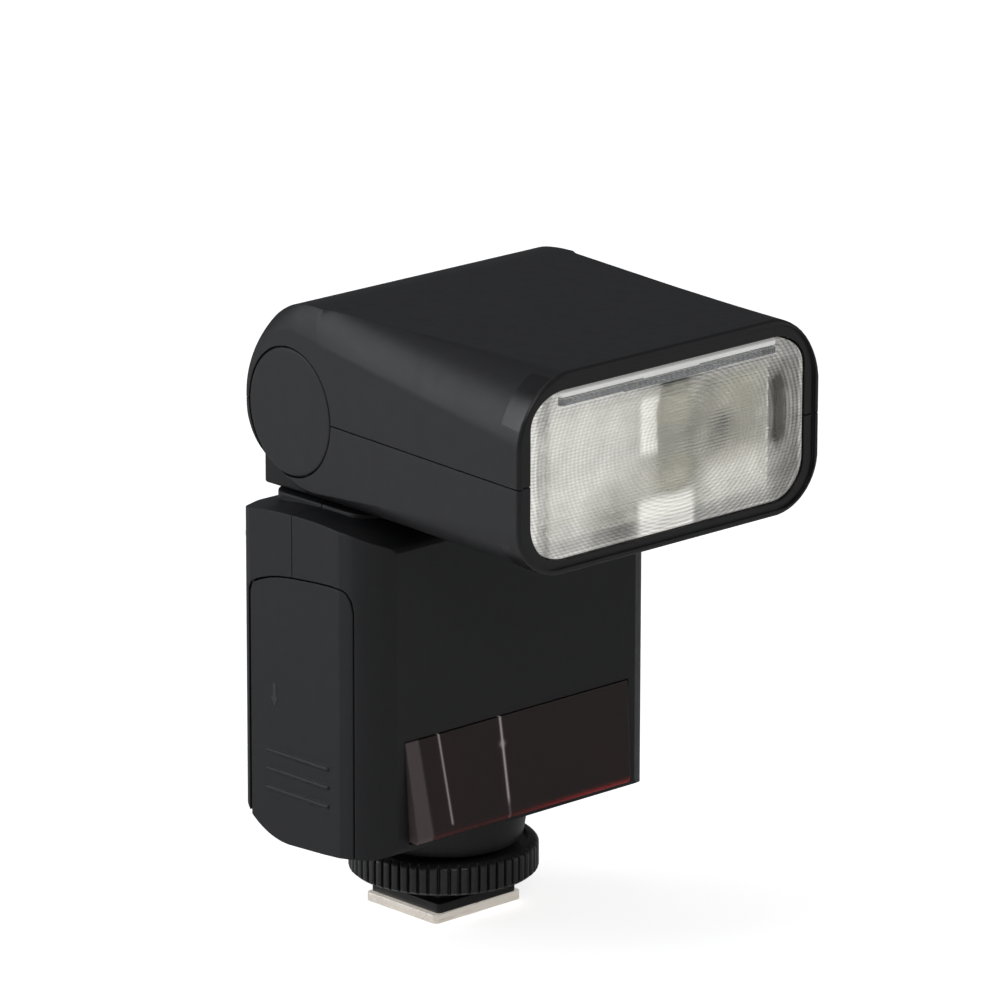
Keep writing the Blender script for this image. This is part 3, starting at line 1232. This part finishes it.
def build_power_switch():
    """Slider with three upright ridges and a stub behind."""
    centre = 16.4
    outline = rounded_rect((centre, SWITCH_Z), 2.0, 1.5, 0.3, 4)
    slider = prism(outline, "y", 14.0, 16.4, "power_switch_slider")
    bevel(slider, 0.2, segments=2, angle=60)
    for x in (centre - 1, centre, centre + 1):
        ridge = [(x - 0.25, 16.3), (x + 0.25, 16.3), (x + 0.1, 16.68), (x - 0.1, 16.68)]
        add(slider, prism(ridge, "z", SWITCH_Z - 1.2, SWITCH_Z + 1.2))
    add(slider, box((15.9, 13.0, 27.9), (16.9, 14.1, 29.5)))
    finish(slider, "switch", ["key"], "power_switch")


def build_display_cover():
    outline = rounded_rect(DISPLAY_AT, 20.35, 8.25, 1.0, 6)
    cover = prism(outline, "y", 14.35, 15.75, "display_cover")
    bevel(cover, 0.2, segments=3, angle=60)
    finish(cover, "body", ["display_cover"], "lcd_window")


build_dial()
build_set_button()
build_keys()
build_test_button()
build_power_switch()
build_display_cover()


# ------------------------------------------------------------------ stage, in metres
def build_floor():
    half, z = 6000, -0.6                 # in millimetres
    corners = [(-half, -half, z), (half, -half, z), (half, half, z), (-half, half, z)]
    floor = mesh(corners, [[0, 1, 2, 3]], "floor")
    floor.data.materials.append(floor_material("floor_pale", (0.93, 0.93, 0.93), rough=0.6))


def build_world():
    """White to the camera, dim cool light to everything else."""
    world = bpy.data.worlds.new("studio")
    bpy.context.scene.world = world
    g = Graph(world, "OutputWorld")
    seen = g.out("Background", Strength=1.0, Color=(1, 1, 1))
    lighting = g.out("Background", Strength=0.14, Color=(0.96, 0.98, 1))
    camera_ray = g.out("LightPath", output="Is Camera Ray")
    g.surface(g.out("MixShader", camera_ray, lighting, seen))


LIGHT_TARGET = Vector((0, -0.01, 0.06))
# name, place, width, height, power, colour
LIGHTS = [
    ("softbox_side", (-0.62, 0.50, 0.42), 0.50, 0.7, 3.4, (0.95, 0.965, 1.0)),
    ("softbox_front", (-0.45, -0.85, 0.75), 0.5, 0.4, 2.2, (1, 0.99, 0.97)),
    ("softbox_top", (-0.15, 0.1, 1.0), 0.6, 0.6, 1.3, (1, 1, 1)),
    ("fill_low", (0.75, -0.6, 0.25), 0.4, 0.4, 0.5, (1, 1, 1)),
]


def aim(piece, location, target):
    piece.location = location
    piece.rotation_euler = (target - piece.location).to_track_quat("-Z", "Y").to_euler()


def build_lights():
    for name, location, width, height, power, colour in LIGHTS:
        light = bpy.data.lights.new(name, "AREA")
        light.energy = power
        light.color = colour
        light.shape = "RECTANGLE"
        light.size = width
        light.size_y = height
        aim(link(bpy.data.objects.new(name, light)), location, LIGHT_TARGET)


def build_camera():
    """Long lens from the front, on the battery door's side, a little above."""
    azimuth, elevation, distance = math.radians(43), math.radians(16.03), 1.2
    target = Vector((0, 0, 0.070))
    camera = bpy.data.cameras.new("camera")
    holder = link(bpy.data.objects.new("camera", camera))
    direction = Vector((-math.sin(azimuth) * math.cos(elevation),
                        -math.cos(azimuth) * math.cos(elevation), math.sin(elevation)))
    aim(holder, target + distance * direction, target)
    camera.sensor_width = 36
    camera.lens = 276.995005
    camera.shift_x = 0.0568831169
    camera.shift_y = -0.0261638362
    camera.clip_start = 0.01
    camera.clip_end = 50
    bpy.context.scene.camera = holder


build_floor()
build_world()
build_lights()
build_camera()
bpy.context.scene.view_settings.view_transform = "Standard"
bpy.context.scene.cycles.use_denoising = True
